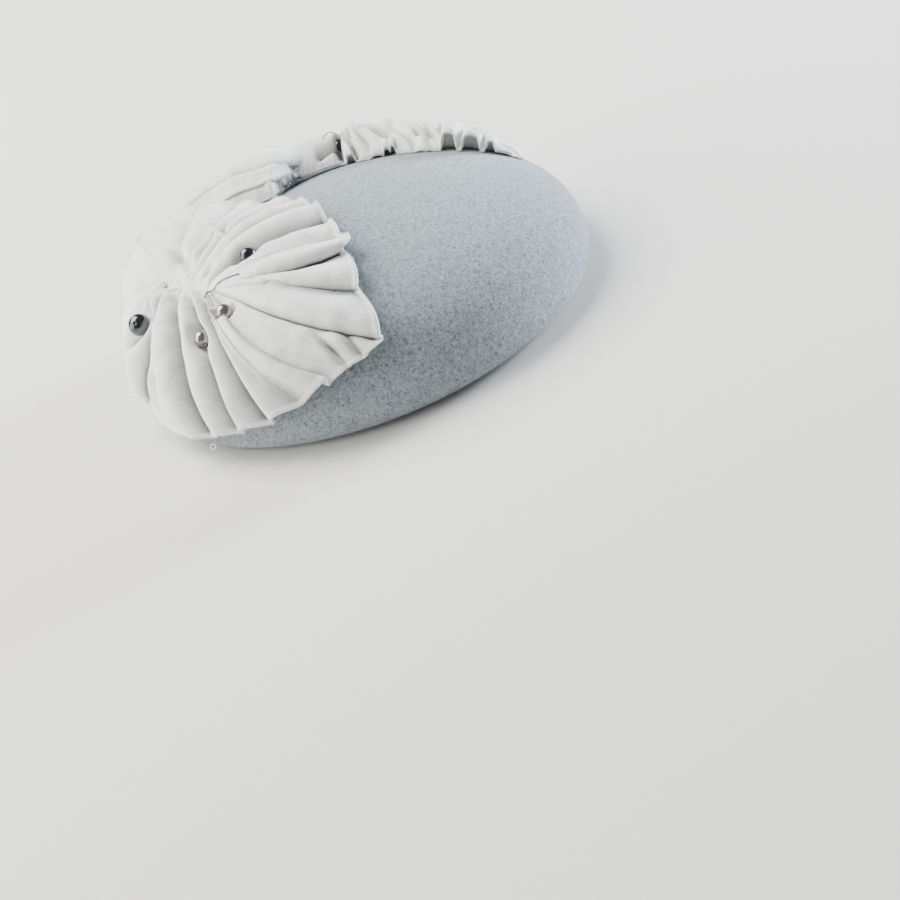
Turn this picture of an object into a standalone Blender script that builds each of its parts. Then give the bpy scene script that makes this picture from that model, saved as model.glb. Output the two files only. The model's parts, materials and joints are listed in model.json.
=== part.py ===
"""Button hat: a moulded felt crown trimmed with gathered velvet and round beads.

Run with: blender --background --python part.py
Lengths are metres, +Z is up. The front of the hat looks to -Y and the trim spills
toward +X. The crown rests on the flat edge of its rolled rim, at z = 0.
"""

import math

import bmesh
import bpy
import numpy as np
from mathutils import Matrix, Vector
from mathutils.bvhtree import BVHTree

MM = 0.001

# Felt crown
CROWN_RADIUS = 82.0 * MM
CROWN_HEIGHT = 45.1 * MM
WIDEST_HEIGHT = 9.4 * MM
RIM_RADIUS = 72.9 * MM
FELT_WALL = 2.5 * MM
TOP_FULLNESS = 2.24
RIM_FULLNESS = 4.0
CROWN_STEPS = 60
TOP_POINTS = 11
ROLL_POINTS = 5

# Velvet trim
VELVET_WALL = 1.2 * MM
FELT_CLEARANCE = 0.4 * MM
PIECE_CLEARANCE = 0.6 * MM
LOFT = 18.0 * MM

# Fan: its gathers run out from a short stitched seam
SEAM_X = 7.0 * MM
SEAM_Y = -53.0 * MM
SEAM_LENGTH = 36.0 * MM
SEAM_WIDTH = 5.0 * MM
SEAM_BEARING = 30.0
SEAM_SHARE = 0.12
SEAM_LIFT = 4.6 * MM
FAN_REACH = 90.0 * MM
FOLD_HEIGHT = 7.5 * MM
FOLD_GROWTH = 0.7
FOLD_SETTLE = 0.45
FAN_SWELL = 2.6 * MM
LIFT_GROWTH = 1.3
SCALLOP = 1.6 * MM
FAN_RINGS = 10
SAMPLES_PER_FOLD = 5

# One row a fold, anticlockwise round the seam: the valley's bearing where it leaves
# the seam and at the edge, where the crest lies before the next valley, the crest's
# height as a share of FOLD_HEIGHT, and the valley's reach and edge lift as shares of
# FAN_REACH and LOFT. Reaches are from the middle of the seam.
FAN_FOLDS = (
    # inner_deg, outer_deg, crest, ridge, reach, lift
    (-58.0, -54.0, 0.45, 1.00, 0.490, 0.14),
    (-30.0, -19.0, 0.50, 0.80, 0.667, 0.13),
    (-8.0, -7.0, 0.60, 0.80, 0.745, 0.12),
    (5.0, 3.0, 0.50, 0.60, 0.810, 0.12),
    (13.0, 14.0, 0.60, 0.40, 0.867, 0.12),
    (20.0, 23.0, 0.70, 0.70, 0.915, 0.12),
    (30.0, 36.0, 0.60, 0.60, 1.000, 0.13),
    (40.0, 45.0, 0.50, 0.60, 0.825, 0.13),
    (50.0, 58.0, 0.45, 0.75, 0.690, 0.12),
    (64.0, 69.0, 0.50, 0.50, 0.655, 0.12),
    (78.0, 82.0, 0.40, 0.80, 0.595, 0.13),
    (94.0, 92.0, 0.50, 0.50, 0.567, 0.12),
    (110.0, 104.0, 0.50, 0.55, 0.545, 0.13),
    (128.0, 120.0, 0.50, 0.50, 0.520, 0.16),
    (146.0, 134.0, 0.50, 0.40, 0.520, 0.30),
    (170.0, 160.0, 0.50, 0.20, 0.570, 0.68),
    (196.0, 190.0, 0.50, 0.12, 0.500, 0.96),
    (226.0, 222.0, 0.50, 0.15, 0.425, 0.52),
    (258.0, 252.0, 0.50, 0.55, 0.410, 0.18),
)

# Puff: lengthwise pleats behind the fan. One row a station: its bearing on the fan's
# edge, how far apart it stands as a share of FAN_REACH, its far edge as shares of
# CROWN_RADIUS, and its crest as a share of LOFT.
PUFF_STATIONS = (
    # bearing_deg, apart, far_x, far_y, crest
    (206.0, 0.00, -0.68, -0.84, 0.40),
    (190.0, 0.00, -0.84, -0.64, 0.84),
    (172.0, 0.00, -0.92, -0.43, 1.04),
    (154.0, 0.05, -0.94, -0.18, 1.06),
    (141.5, 0.15, -0.92, 0.04, 0.88),
)
PUFF_PLEATS = 3.0
PUFF_PLEAT_HEIGHT = 2.6 * MM
PUFF_STEPS = 14
PUFF_ACROSS = 12

# Ruffle: a strip that is pinched at its beaded gather and runs to the back. Edges are
# shares of CROWN_RADIUS, crest and frill of LOFT.
RUFFLE_STATIONS = (
    # near_x, near_y, far_x, far_y, crest, frill
    (-0.61, -0.09, -0.92, 0.09, 0.74, 0.02),
    (-0.60, 0.01, -0.90, 0.14, 0.78, 0.02),
    (-0.61, 0.13, -0.88, 0.19, 0.42, 0.02),
    (-0.55, 0.22, -0.88, 0.26, 0.66, 0.12),
    (-0.49, 0.35, -0.84, 0.40, 0.58, 0.20),
    (-0.39, 0.50, -0.76, 0.59, 0.48, 0.26),
    (-0.32, 0.62, -0.66, 0.73, 0.40, 0.26),
    (-0.25, 0.75, -0.54, 0.86, 0.24, 0.20),
    (-0.19, 0.90, -0.38, 0.95, 0.08, 0.06),
)
RUFFLE_WAVES = 11.0
END_SHARE = 0.03
END_POWER = 0.5
ARCH_POWER = 0.7
FRILL_AT_SPINE = 0.35
FRILL_POWER = 1.5
RUFFLE_STEPS = 66
RUFFLE_ACROSS = 8

# Beads
LARGE_BEAD = 8.0 * MM
SMALL_BEAD = 6.0 * MM
BEAD_GAP = 0.3 * MM
SEAT_STEP = 0.05 * MM
BEAD_SEGMENTS = 14
BEAD_RINGS = 8
DIMPLE_WIDTH = 1.6
DIMPLE_POWER = 4

# Places as shares of CROWN_RADIUS
BEADS = (
    # name, diameter, flat_x, flat_y, finish, cloth
    ("dark_bead_top", LARGE_BEAD, 0.225, -0.360, "dark", "velvet_fan"),
    ("silver_bead_upper", SMALL_BEAD, 0.485, -0.525, "silver", "velvet_fan"),
    ("silver_bead_lower", SMALL_BEAD, 0.520, -0.645, "silver", "velvet_fan"),
    ("dark_bead_front", LARGE_BEAD, 0.035, -0.902, "dark", "velvet_fan"),
    ("dark_bead_gather", LARGE_BEAD, -0.730, 0.155, "dark", "velvet_ruffle"),
)

COLOURS = {
    # red, green, blue, roughness, metallic
    "felt": (0.40, 0.46, 0.49, 0.95, 0.0),
    "velvet": (0.70, 0.71, 0.70, 0.85, 0.0),
    "dark": (0.04, 0.06, 0.08, 0.15, 0.6),
    "silver": (0.55, 0.54, 0.52, 0.2, 0.7),
}


def clear_scene():
    """Remove every object that the file opens with."""
    for item in list(bpy.data.objects):
        bpy.data.objects.remove(item, do_unlink=True)


def make_material(finish):
    """Return the Principled material for one named finish."""
    red, green, blue, roughness, metallic = COLOURS[finish]
    material = bpy.data.materials.new(finish)
    material.use_nodes = True
    shader = material.node_tree.nodes["Principled BSDF"]
    shader.inputs["Base Color"].default_value = (red, green, blue, 1.0)
    shader.inputs["Roughness"].default_value = roughness
    shader.inputs["Metallic"].default_value = metallic
    return material


def dome_profile(inset, top_points, roll_points):
    """Radius and height pairs from the apex down to the rim, inset from the outside."""
    radius = CROWN_RADIUS - inset
    top = CROWN_HEIGHT - inset - WIDEST_HEIGHT
    pairs = []
    for step in range(top_points):
        turn = math.cos(step / top_points * math.pi / 2)
        height = WIDEST_HEIGHT + top * turn
        pairs.append((radius * (1 - turn**TOP_FULLNESS) ** (1 / TOP_FULLNESS), height))
    rim = (RIM_RADIUS - inset) / radius
    depth = WIDEST_HEIGHT / (1 - rim**RIM_FULLNESS) ** (1 / RIM_FULLNESS)
    for step in range(roll_points + 1):
        drop = WIDEST_HEIGHT * math.sin(step / roll_points * math.pi / 2)
        reach = radius * (1 - (drop / depth) ** RIM_FULLNESS) ** (1 / RIM_FULLNESS)
        pairs.append((reach, WIDEST_HEIGHT - drop))
    return pairs


class Dome:
    """The crown's outside as a map: distances measured over it from the apex."""

    def __init__(self, samples=240):
        pairs = np.array(dome_profile(0.0, samples, samples))
        steps = np.hypot(*np.diff(pairs, axis=0).T)
        self.length = np.concatenate(([0.0], np.cumsum(steps)))
        self.radius, self.height = pairs.T
        slope_out = np.gradient(self.radius, self.length)
        slope_up = np.gradient(self.height, self.length)
        size = np.hypot(slope_out, slope_up)
        self.normal_out = -slope_up / size
        self.normal_up = slope_out / size

    def place(self, flat_x, flat_y, lift):
        """Point in space, lift above the felt at a place on the map."""
        length = math.hypot(flat_x, flat_y)
        bearing = math.atan2(flat_y, flat_x)
        out = np.interp(length, self.length, self.radius)
        up = np.interp(length, self.length, self.height)
        out += lift * np.interp(length, self.length, self.normal_out)
        up += lift * np.interp(length, self.length, self.normal_up)
        return Vector((out * math.cos(bearing), out * math.sin(bearing), up))


def blend(low, high, share):
    """Value a share of the way from low to high."""
    return low + (high - low) * share


def row_at(table, share):
    """Columns of a station table, blended at a share of its whole run."""
    place = min(max(share, 0.0), 1.0) * (len(table) - 1)
    index = min(int(place), len(table) - 2)
    local = place - index
    return [blend(low, high, local) for low, high in zip(table[index], table[index + 1])]


def fold_shape(local, crest):
    """Height of a pleat's section, 0 at both valleys and 1 at its crest."""
    if local < crest:
        return math.sin(math.pi / 2 * local / crest)
    return math.sin(math.pi / 2 * (1 - local) / (1 - crest))


def dimple(flat_x, flat_y):
    """Share by which the stitches of the nearest bead pull the cloth down."""
    pull = 0.0
    for _, diameter, bead_x, bead_y, _, _ in BEADS:
        away = math.hypot(flat_x - bead_x * CROWN_RADIUS, flat_y - bead_y * CROWN_RADIUS)
        width = DIMPLE_WIDTH * diameter / 2
        pull = max(pull, math.exp(-((away / width) ** DIMPLE_POWER)))
    return pull


def ring_point(bearing_deg, half_length, half_width=None):
    """Point of a circle or ellipse, whose long way is half_length, at a bearing."""
    turn = math.radians(bearing_deg)
    return Vector((half_length * math.cos(turn), (half_width or half_length) * math.sin(turn)))


def fan_surface(out_share, round_share):
    """Map place and lift of the fan's top, by shares outward and round the seam."""
    place = round_share * len(FAN_FOLDS)
    index = min(int(place + 1e-9), len(FAN_FOLDS) - 1)
    local = place - index
    here = FAN_FOLDS[index]
    after = list(FAN_FOLDS[(index + 1) % len(FAN_FOLDS)])
    if index == len(FAN_FOLDS) - 1:
        after[0] += 360.0
        after[1] += 360.0
    inner, outer, _, _, reach, lift = (blend(*pair, local) for pair in zip(here, after))
    section = here[3] * fold_shape(local, here[2])
    start = ring_point(inner - SEAM_BEARING, SEAM_LENGTH / 2, SEAM_WIDTH / 2)
    start.rotate(Matrix.Rotation(math.radians(SEAM_BEARING), 2))
    end = ring_point(outer, reach * FAN_REACH + SCALLOP * section)
    spread = max(0.0, (out_share - SEAM_SHARE) / (1 - SEAM_SHARE))
    spot = start * min(1.0, out_share / SEAM_SHARE)
    spot = spot.lerp(end, spread)
    rise = blend(SEAM_LIFT, lift * LOFT, spread**LIFT_GROWTH)
    rise += FAN_SWELL * math.sin(math.pi * spread)
    rise += FOLD_HEIGHT * section * spread**FOLD_GROWTH * (1 - FOLD_SETTLE * spread**2)
    return SEAM_X + spot.x, SEAM_Y + spot.y, rise


def beside_fan(bearing_deg, apart):
    """Place on the map outside the fan's edge at a bearing round the seam."""
    bearings = [row[1] for row in FAN_FOLDS]
    reaches = [row[4] for row in FAN_FOLDS]
    reach = (float(np.interp(bearing_deg, bearings, reaches)) + apart) * FAN_REACH
    spot = ring_point(bearing_deg, reach + SCALLOP + PIECE_CLEARANCE)
    return SEAM_X + spot.x, SEAM_Y + spot.y


def closed_ends(along):
    """Share of the full lift that a strip keeps, falling to nothing at its ends."""
    near_end = min(1.0, min(along, 1.0 - along) / END_SHARE)
    return math.sin(math.pi / 2 * max(near_end, 0.0)) ** END_POWER


def arch(across):
    """Share of a strip's crest at a place across it."""
    return max(0.0, math.sin(math.pi * across)) ** ARCH_POWER


def puff_surface(along, across):
    """Map place and lift of the puff's top, by shares along it and across it."""
    bearing_deg, apart, far_x, far_y, crest = row_at(PUFF_STATIONS, along)
    near_x, near_y = beside_fan(bearing_deg, apart)
    pleat = abs(math.sin(math.pi * PUFF_PLEATS * across)) * PUFF_PLEAT_HEIGHT
    rise = (crest * LOFT - PUFF_PLEAT_HEIGHT + pleat) * arch(across) * closed_ends(along)
    flat_x = blend(near_x, far_x * CROWN_RADIUS, across)
    flat_y = blend(near_y, far_y * CROWN_RADIUS, across)
    return flat_x, flat_y, rise


def ruffle_surface(along, across):
    """Map place and lift of the ruffle's top, by shares along it and across it."""
    near_x, near_y, far_x, far_y, crest, frill = row_at(RUFFLE_STATIONS, along)
    wave = 0.5 - 0.5 * math.cos(2 * math.pi * RUFFLE_WAVES * along)
    edge = blend(FRILL_AT_SPINE, 1.0, abs(2 * across - 1) ** FRILL_POWER)
    rise = LOFT * (crest * arch(across) + frill * wave * edge) * closed_ends(along)
    flat_x = blend(near_x, far_x, across) * CROWN_RADIUS
    flat_y = blend(near_y, far_y, across) * CROWN_RADIUS
    return flat_x, flat_y, rise


def link_object(name, mesh, material):
    """Add a smooth shaded object with its one material to the hat's collection."""
    item = bpy.data.objects.new(name, mesh)
    bpy.data.collections["button_hat"].objects.link(item)
    mesh.materials.append(material)
    mesh.polygons.foreach_set("use_smooth", [True] * len(mesh.polygons))
    return item


def make_cloth(name, surface, first_steps, second_steps, dome, material):
    """Drape a sheet of velvet of even thickness over the crown."""
    sheet = bmesh.new()
    bmesh.ops.create_grid(sheet, x_segments=first_steps, y_segments=second_steps, size=0.5)
    lowest = FELT_CLEARANCE + VELVET_WALL
    for vert in sheet.verts:
        flat_x, flat_y, rise = surface(vert.co.x + 0.5, vert.co.y + 0.5)
        rise = blend(max(rise, lowest), lowest, dimple(flat_x, flat_y))
        vert.co = (flat_x, flat_y, rise)
    bmesh.ops.remove_doubles(sheet, verts=sheet.verts, dist=0.00001)
    bmesh.ops.dissolve_degenerate(sheet, edges=sheet.edges, dist=0.00001)
    grown = bmesh.ops.extrude_face_region(sheet, geom=sheet.faces[:])
    under = [part for part in grown["geom"] if isinstance(part, bmesh.types.BMVert)]
    bmesh.ops.translate(sheet, verts=under, vec=(0.0, 0.0, -VELVET_WALL))
    for vert in sheet.verts:
        vert.co = dome.place(*vert.co)
    bmesh.ops.triangulate(sheet, faces=sheet.faces[:])
    bmesh.ops.recalc_face_normals(sheet, faces=sheet.faces[:])
    mesh = bpy.data.meshes.new(name)
    sheet.to_mesh(mesh)
    sheet.free()
    return link_object(name, mesh, material)


def make_crown(material):
    """Turn the felt crown: outside, flat rim edge and inside in one profile."""
    outside = dome_profile(0.0, TOP_POINTS, ROLL_POINTS)
    inside = dome_profile(FELT_WALL, TOP_POINTS, ROLL_POINTS)
    profile = outside + inside[::-1]
    mesh = bpy.data.meshes.new("felt_crown")
    points = [(radius, 0.0, height) for radius, height in profile]
    edges = [(index, index + 1) for index in range(len(points) - 1)]
    mesh.from_pydata(points, edges, [])
    item = link_object("felt_crown", mesh, material)
    turn = item.modifiers.new("turn", "SCREW")
    turn.steps = CROWN_STEPS
    turn.render_steps = CROWN_STEPS
    turn.use_merge_vertices = True
    turn.merge_threshold = 0.00001
    turn.use_smooth_shade = True
    return item


def make_bead(name, diameter, place, material):
    """Add one round bead."""
    ball = bmesh.new()
    bmesh.ops.create_uvsphere(
        ball, u_segments=BEAD_SEGMENTS, v_segments=BEAD_RINGS, radius=diameter / 2
    )
    mesh = bpy.data.meshes.new(name)
    ball.to_mesh(mesh)
    ball.free()
    item = link_object(name, mesh, material)
    item.location = place
    return item


def seat_height(cloth, dome, flat_x, flat_y, radius):
    """Lift at which a bead, let down over a cloth, stops just clear of it."""
    mesh = cloth.data
    points = [vert.co for vert in mesh.vertices]
    tree = BVHTree.FromPolygons(points, [tuple(face.vertices) for face in mesh.polygons])
    lift = LOFT * 2
    while tree.find_nearest(dome.place(flat_x, flat_y, lift))[3] > radius + BEAD_GAP:
        lift -= SEAT_STEP
    return lift + SEAT_STEP


def make_beads(cloths, dome, finishes):
    """Seat every bead on the cloth that it is stitched to."""
    for name, diameter, bead_x, bead_y, finish, cloth in BEADS:
        flat_x = bead_x * CROWN_RADIUS
        flat_y = bead_y * CROWN_RADIUS
        lift = seat_height(cloths[cloth], dome, flat_x, flat_y, diameter / 2)
        make_bead(name, diameter, dome.place(flat_x, flat_y, lift), finishes[finish])


def centre_on_origin():
    """Slide the whole hat so that its box's bottom centre is the origin."""
    bpy.context.view_layer.update()
    graph = bpy.context.evaluated_depsgraph_get()
    hat = bpy.data.collections["button_hat"].objects
    corners = []
    for item in hat:
        solid = item.evaluated_get(graph)
        corners += [solid.matrix_world @ vert.co for vert in solid.data.vertices]
    low_x, high_x = min(point.x for point in corners), max(point.x for point in corners)
    low_y, high_y = min(point.y for point in corners), max(point.y for point in corners)
    for item in hat:
        item.location.x -= (low_x + high_x) / 2
        item.location.y -= (low_y + high_y) / 2


def main():
    """Build the hat."""
    clear_scene()
    bpy.context.scene.collection.children.link(bpy.data.collections.new("button_hat"))
    finishes = {finish: make_material(finish) for finish in COLOURS}
    dome = Dome()
    make_crown(finishes["felt"])
    velvet = finishes["velvet"]
    sheets = (
        # name, surface, first steps, second steps
        ("velvet_fan", fan_surface, FAN_RINGS, len(FAN_FOLDS) * SAMPLES_PER_FOLD),
        ("velvet_puff", puff_surface, PUFF_STEPS, PUFF_ACROSS),
        ("velvet_ruffle", ruffle_surface, RUFFLE_STEPS, RUFFLE_ACROSS),
    )
    cloths = {}
    for name, surface, first_steps, second_steps in sheets:
        cloths[name] = make_cloth(name, surface, first_steps, second_steps, dome, velvet)
    make_beads(cloths, dome, finishes)
    centre_on_origin()


main()
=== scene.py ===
"""Button hat, dressed: a moulded wool felt crown with gathered velvet and pearl beads.

Lengths are metres, +Z is up. The hat's front looks to -Y and its folds spill toward +X.
The velvet is laid out on a map of the crown: distances over the felt from the crown's
top, and a lift above the felt. Each fold is a row of a short table.
"""

import json
import logging
import math
import random
from collections.abc import Sequence
from dataclasses import dataclass
from enum import Enum
from typing import Any, NamedTuple

import bmesh
import bpy
import numpy as np
from mathutils import Matrix, Vector, noise

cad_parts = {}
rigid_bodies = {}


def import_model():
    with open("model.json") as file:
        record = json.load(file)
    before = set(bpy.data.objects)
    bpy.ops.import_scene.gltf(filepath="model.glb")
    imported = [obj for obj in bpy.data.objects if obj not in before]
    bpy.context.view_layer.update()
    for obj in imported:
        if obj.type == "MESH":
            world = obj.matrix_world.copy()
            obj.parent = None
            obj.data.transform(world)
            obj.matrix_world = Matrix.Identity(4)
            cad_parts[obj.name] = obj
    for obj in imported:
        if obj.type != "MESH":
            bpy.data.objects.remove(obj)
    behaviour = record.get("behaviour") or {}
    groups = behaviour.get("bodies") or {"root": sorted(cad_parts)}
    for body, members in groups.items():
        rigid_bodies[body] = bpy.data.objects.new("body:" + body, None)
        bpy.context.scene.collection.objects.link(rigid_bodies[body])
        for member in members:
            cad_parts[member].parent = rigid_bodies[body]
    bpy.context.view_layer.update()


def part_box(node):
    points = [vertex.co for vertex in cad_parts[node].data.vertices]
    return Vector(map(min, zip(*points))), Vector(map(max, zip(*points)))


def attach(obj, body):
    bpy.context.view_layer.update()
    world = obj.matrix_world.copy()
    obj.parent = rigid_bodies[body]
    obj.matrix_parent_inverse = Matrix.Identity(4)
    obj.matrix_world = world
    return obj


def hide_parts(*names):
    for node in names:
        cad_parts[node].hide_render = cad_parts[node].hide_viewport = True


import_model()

MM = 0.001
LOG = logging.getLogger("button_hat")

# Crown, as it is blocked
CROWN_RADIUS = 82.0 * MM
CROWN_HEIGHT = 45.1 * MM
WIDEST_HEIGHT = 9.4 * MM
RIM_RADIUS = 72.9 * MM
FELT_WALL = 2.5 * MM
TOP_FULLNESS = 2.24
RIM_FULLNESS = 4.0

# Velvet trim
VELVET_WALL = 0.9 * MM
LOWEST_LIFT = 1.6 * MM
LOFT = 18.0 * MM
MERGE_DISTANCE = 0.02 * MM
FAN_REACH = 90.0 * MM
FOLD_HEIGHT = 7.5 * MM


class Pleat(NamedTuple):
    """One pleat of the fan, anticlockwise round the seam, with the valley before it.

    Bearings are degrees from +X, where the valley leaves the seam, half-way and at the
    edge. Reach is a share of FAN_REACH, floors and ridge of FOLD_HEIGHT and lift of
    LOFT. The tip is how far the crest's edge stands past the valley's, and the lips how
    far the pleat hangs over the valley before it and after it, in millimetres. The
    valley's floor starts to change at opens, a share of the way out.
    """

    inner: float
    middle: float
    outer: float
    reach: float
    tip: float
    floor_in: float
    floor_out: float
    crest: float
    ridge: float
    lip_before: float
    lip_after: float
    lift: float
    opens: float = 0.0

    def floor(self, spread: float) -> float:
        """Height of the valley's floor at a share of the way out."""
        return blend(self.floor_in, self.floor_out, ease((spread - self.opens) / (1 - self.opens)))


FAN_PLEATS = (
    Pleat(-144, -86, -100, 0.415, -0.6, 0.00, 0.10, 0.60, 0.70, 0.0, 1.2, 0.14),
    Pleat(-120, -42, -66, 0.45, 0.2, 0.00, 0.00, 0.60, 0.26, 0.0, 0.0, 0.12),
    Pleat(-95, -30, -26, 0.640, -2.2, 0.00, 0.00, 0.24, 1.00, 0.4, 0.0, 0.12),
    Pleat(-66, -10, -17, 0.684, -2.4, 0.10, 0.00, 0.42, 0.95, 0.0, 0.0, 0.12),
    Pleat(-44, 3, -5.5, 0.754, -2.4, 0.00, 0.00, 0.28, 0.90, 0.0, 0.0, 0.11),
    Pleat(-18, 7, 4.8, 0.820, -1.8, 0.10, 0.00, 0.32, 1.00, 0.3, 0.0, 0.11),
    Pleat(-4, 7.5, 15, 0.870, -0.6, 1.00, 0.50, 0.84, 1.05, 0.0, 3.0, 0.12, 0.50),
    Pleat(4, 8, 22.5, 0.908, 0.4, 0.00, 0.00, 0.80, 0.46, 0.0, 0.0, 0.11),
    Pleat(5, 14, 28, 0.930, 0.4, 0.46, 0.42, 0.45, 0.48, 0.0, 0.0, 0.11, 0.50),
    Pleat(6, 20, 32.5, 0.967, 0.4, 0.48, 0.38, 0.35, 0.50, 0.0, 0.0, 0.11, 0.50),
    Pleat(9, 27.5, 37.2, 0.985, 1.2, 0.00, 0.00, 0.26, 0.84, 1.6, 0.0, 0.12),
    Pleat(14, 41, 46, 0.810, 1.4, 0.70, 0.00, 0.36, 0.66, 1.2, 0.0, 0.12, 0.30),
    Pleat(22, 46.5, 61, 0.665, 4.2, 0.25, 0.00, 0.24, 1.00, 3.2, 0.0, 0.12),
    Pleat(50, 62, 68, 0.640, 0.3, 0.80, 0.40, 0.42, 0.66, 0.0, 0.0, 0.12),
    Pleat(82, 77, 83, 0.580, 0.4, 0.00, 0.00, 0.50, 1.05, 2.4, 0.0, 0.12),
    Pleat(98, 103, 97, 0.540, 0.3, 0.70, 0.40, 0.46, 0.88, 0.0, 0.0, 0.12),
    Pleat(112, 118, 110, 0.520, 0.3, 0.55, 0.15, 0.42, 0.75, 0.0, 0.0, 0.12),
    Pleat(124, 131, 130, 0.490, 0.4, 0.20, 0.05, 0.50, 0.50, 0.0, 0.0, 0.15),
    Pleat(138, 143, 146, 0.490, 0.3, 0.20, 0.15, 0.50, 0.30, 0.0, 0.0, 0.30),
    Pleat(154, 162, 163, 0.550, 0.4, 0.05, 0.10, 0.50, 0.22, 0.0, 0.0, 0.68),
    Pleat(170, 190, 190, 0.500, 0.4, 0.05, 0.05, 0.50, 0.14, 0.0, 0.0, 0.96),
    Pleat(186, 220, 220, 0.430, 0.4, 0.05, 0.05, 0.50, 0.20, 0.0, 0.0, 0.53),
    Pleat(204, 246, 242, 0.410, 0.2, 0.10, 0.05, 0.55, 0.50, 0.0, 0.6, 0.24),
)


class Pucker(NamedTuple):
    """A small dent or bump of the fan, by its place on the map, all in millimetres.

    Long and wide are its half sizes, the long way lies at the bearing in degrees, and
    depth is down where it is positive.
    """

    flat_x: float
    flat_y: float
    long: float
    wide: float
    bearing: float
    depth: float


FAN_PUCKERS = (
    Pucker(-9.0, -51.5, 8.0, 1.6, 10.0, 2.2),
    Pucker(-5.0, -47.0, 7.0, 3.0, 12.0, -1.4),
    Pucker(11.0, -44.5, 2.4, 1.6, 60.0, 1.6),
    Pucker(0.0, -57.0, 2.6, 1.8, 70.0, 2.0),
    Pucker(7.0, -58.5, 6.0, 1.5, 5.0, 1.8),
    Pucker(3.0, -53.0, 6.5, 2.2, 8.0, -1.4),
    Pucker(11.0, -62.0, 4.0, 1.3, 100.0, 1.8),
    Pucker(-8.0, -35.0, 7.5, 1.2, 12.0, 2.0),
    Pucker(-9.0, -37.8, 7.5, 1.4, 12.0, -1.2),
    Pucker(31.0, -45.0, 4.5, 3.0, 20.0, 2.4),
    Pucker(20.0, -52.0, 2.5, 1.5, 60.0, 1.4),
    Pucker(14.0, -56.5, 2.5, 1.3, 100.0, 1.4),
    Pucker(75.0, -15.6, 6.5, 0.9, 21.0, 2.8),
    Pucker(76.5, -8.7, 5.0, 0.8, 15.0, 2.2),
    Pucker(73.5, -12.4, 5.0, 1.6, 18.0, -0.9),
    Pucker(72.0, -3.6, 3.0, 1.2, 60.0, -0.8),
    Pucker(30.0, -79.0, 9.0, 3.4, -52.0, 2.2),
    Pucker(76.5, -2.6, 2.4, 1.0, 50.0, 1.0),
)


class PuffStation(NamedTuple):
    """A station along the puff: where its near edge lies on the fan's, as a bearing and a
    gap in shares of FAN_REACH, its far edge in shares of CROWN_RADIUS, its crest of LOFT."""

    bearing: float
    apart: float
    far_x: float
    far_y: float
    crest: float


PUFF_STATIONS = (
    PuffStation(206.0, 0.00, -0.68, -0.84, 0.40),
    PuffStation(190.0, 0.00, -0.84, -0.64, 0.86),
    PuffStation(172.0, 0.00, -0.92, -0.43, 1.06),
    PuffStation(154.0, 0.05, -0.95, -0.18, 1.04),
    PuffStation(140.5, 0.14, -0.92, 0.04, 0.84),
    PuffStation(141.0, 0.31, -0.86, 0.20, 0.55),
)


class RuffleStation(NamedTuple):
    """A station along the ruffle: near and far edges in shares of CROWN_RADIUS, and its
    crest in shares of LOFT."""

    near_x: float
    near_y: float
    far_x: float
    far_y: float
    crest: float


RUFFLE_STATIONS = (
    RuffleStation(-0.62, -0.09, -0.92, 0.09, 0.80),
    RuffleStation(-0.63, 0.01, -0.90, 0.14, 0.82),
    RuffleStation(-0.625, 0.13, -0.88, 0.19, 0.72),
    RuffleStation(-0.56, 0.22, -0.88, 0.26, 0.78),
    RuffleStation(-0.49, 0.35, -0.84, 0.40, 0.66),
    RuffleStation(-0.39, 0.50, -0.76, 0.59, 0.56),
    RuffleStation(-0.32, 0.62, -0.66, 0.73, 0.44),
    RuffleStation(-0.25, 0.75, -0.54, 0.86, 0.26),
    RuffleStation(-0.19, 0.90, -0.38, 0.95, 0.08),
)


class Arch(NamedTuple):
    """A place where the ruffle's edge stands off the felt: its middle and half width
    as shares of the strip's length, its lift in millimetres, and how deep it runs in."""

    middle: float
    half_width: float
    lift: float
    depth: float


RUFFLE_ARCHES = (
    Arch(0.325, 0.030, 3.4, 0.18),
    Arch(0.450, 0.026, 1.2, 0.10),
    Arch(0.490, 0.014, 3.0, 0.12),
    Arch(0.513, 0.009, 3.6, 0.12),
    Arch(0.605, 0.014, 0.5, 0.10),
    Arch(0.722, 0.033, 6.6, 0.42),
    Arch(0.808, 0.036, 6.0, 0.42),
    Arch(0.880, 0.018, 4.4, 0.30),
    Arch(0.920, 0.040, 1.2, 0.30),
)


class Crease(NamedTuple):
    """A fold line of the ruffle between two places, by shares along and across it, with
    its half width and its depth in millimetres, which is negative for a ridge."""

    first: float
    across: float
    last: float
    last_across: float
    wide: float
    depth: float


RUFFLE_CREASES = (
    Crease(0.262, 0.50, 0.266, 0.06, 1.7, 5.5),
    Crease(0.250, 0.18, 0.165, 0.12, 1.6, 3.6),
    Crease(0.300, 0.34, 0.362, 0.04, 1.6, 2.6),
    Crease(0.335, 0.42, 0.352, 0.22, 1.3, 1.6),
    Crease(0.375, 0.38, 0.425, 0.08, 1.5, 1.5),
    Crease(0.405, 0.42, 0.500, 0.18, 1.8, 2.4),
    Crease(0.500, 0.42, 0.615, 0.08, 1.5, -1.4),
    Crease(0.600, 0.17, 0.650, 0.17, 1.6, 2.6),
    Crease(0.520, 0.34, 0.590, 0.06, 1.4, 1.3),
    Crease(0.670, 0.38, 0.690, 0.16, 1.4, 1.4),
    Crease(0.850, 0.45, 0.856, 0.10, 1.2, -1.6),
)


class BeadSeat(NamedTuple):
    """Where a bead lies on the map, and the dent its stitches make in the cloth: an
    ellipse with its long way at a bearing in degrees and its half sizes in bead radii."""

    flat_x: float
    flat_y: float
    radius: float
    bearing: float
    long: float
    wide: float


BEAD_DENTS = {
    "dark_bead_top": (81.0, 1.20, 0.80),
    "silver_bead_upper": (60.0, 1.25, 1.05),
    "silver_bead_lower": (8.0, 2.10, 0.85),
    "dark_bead_front": (-10.0, 2.30, 1.45),
}


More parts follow.
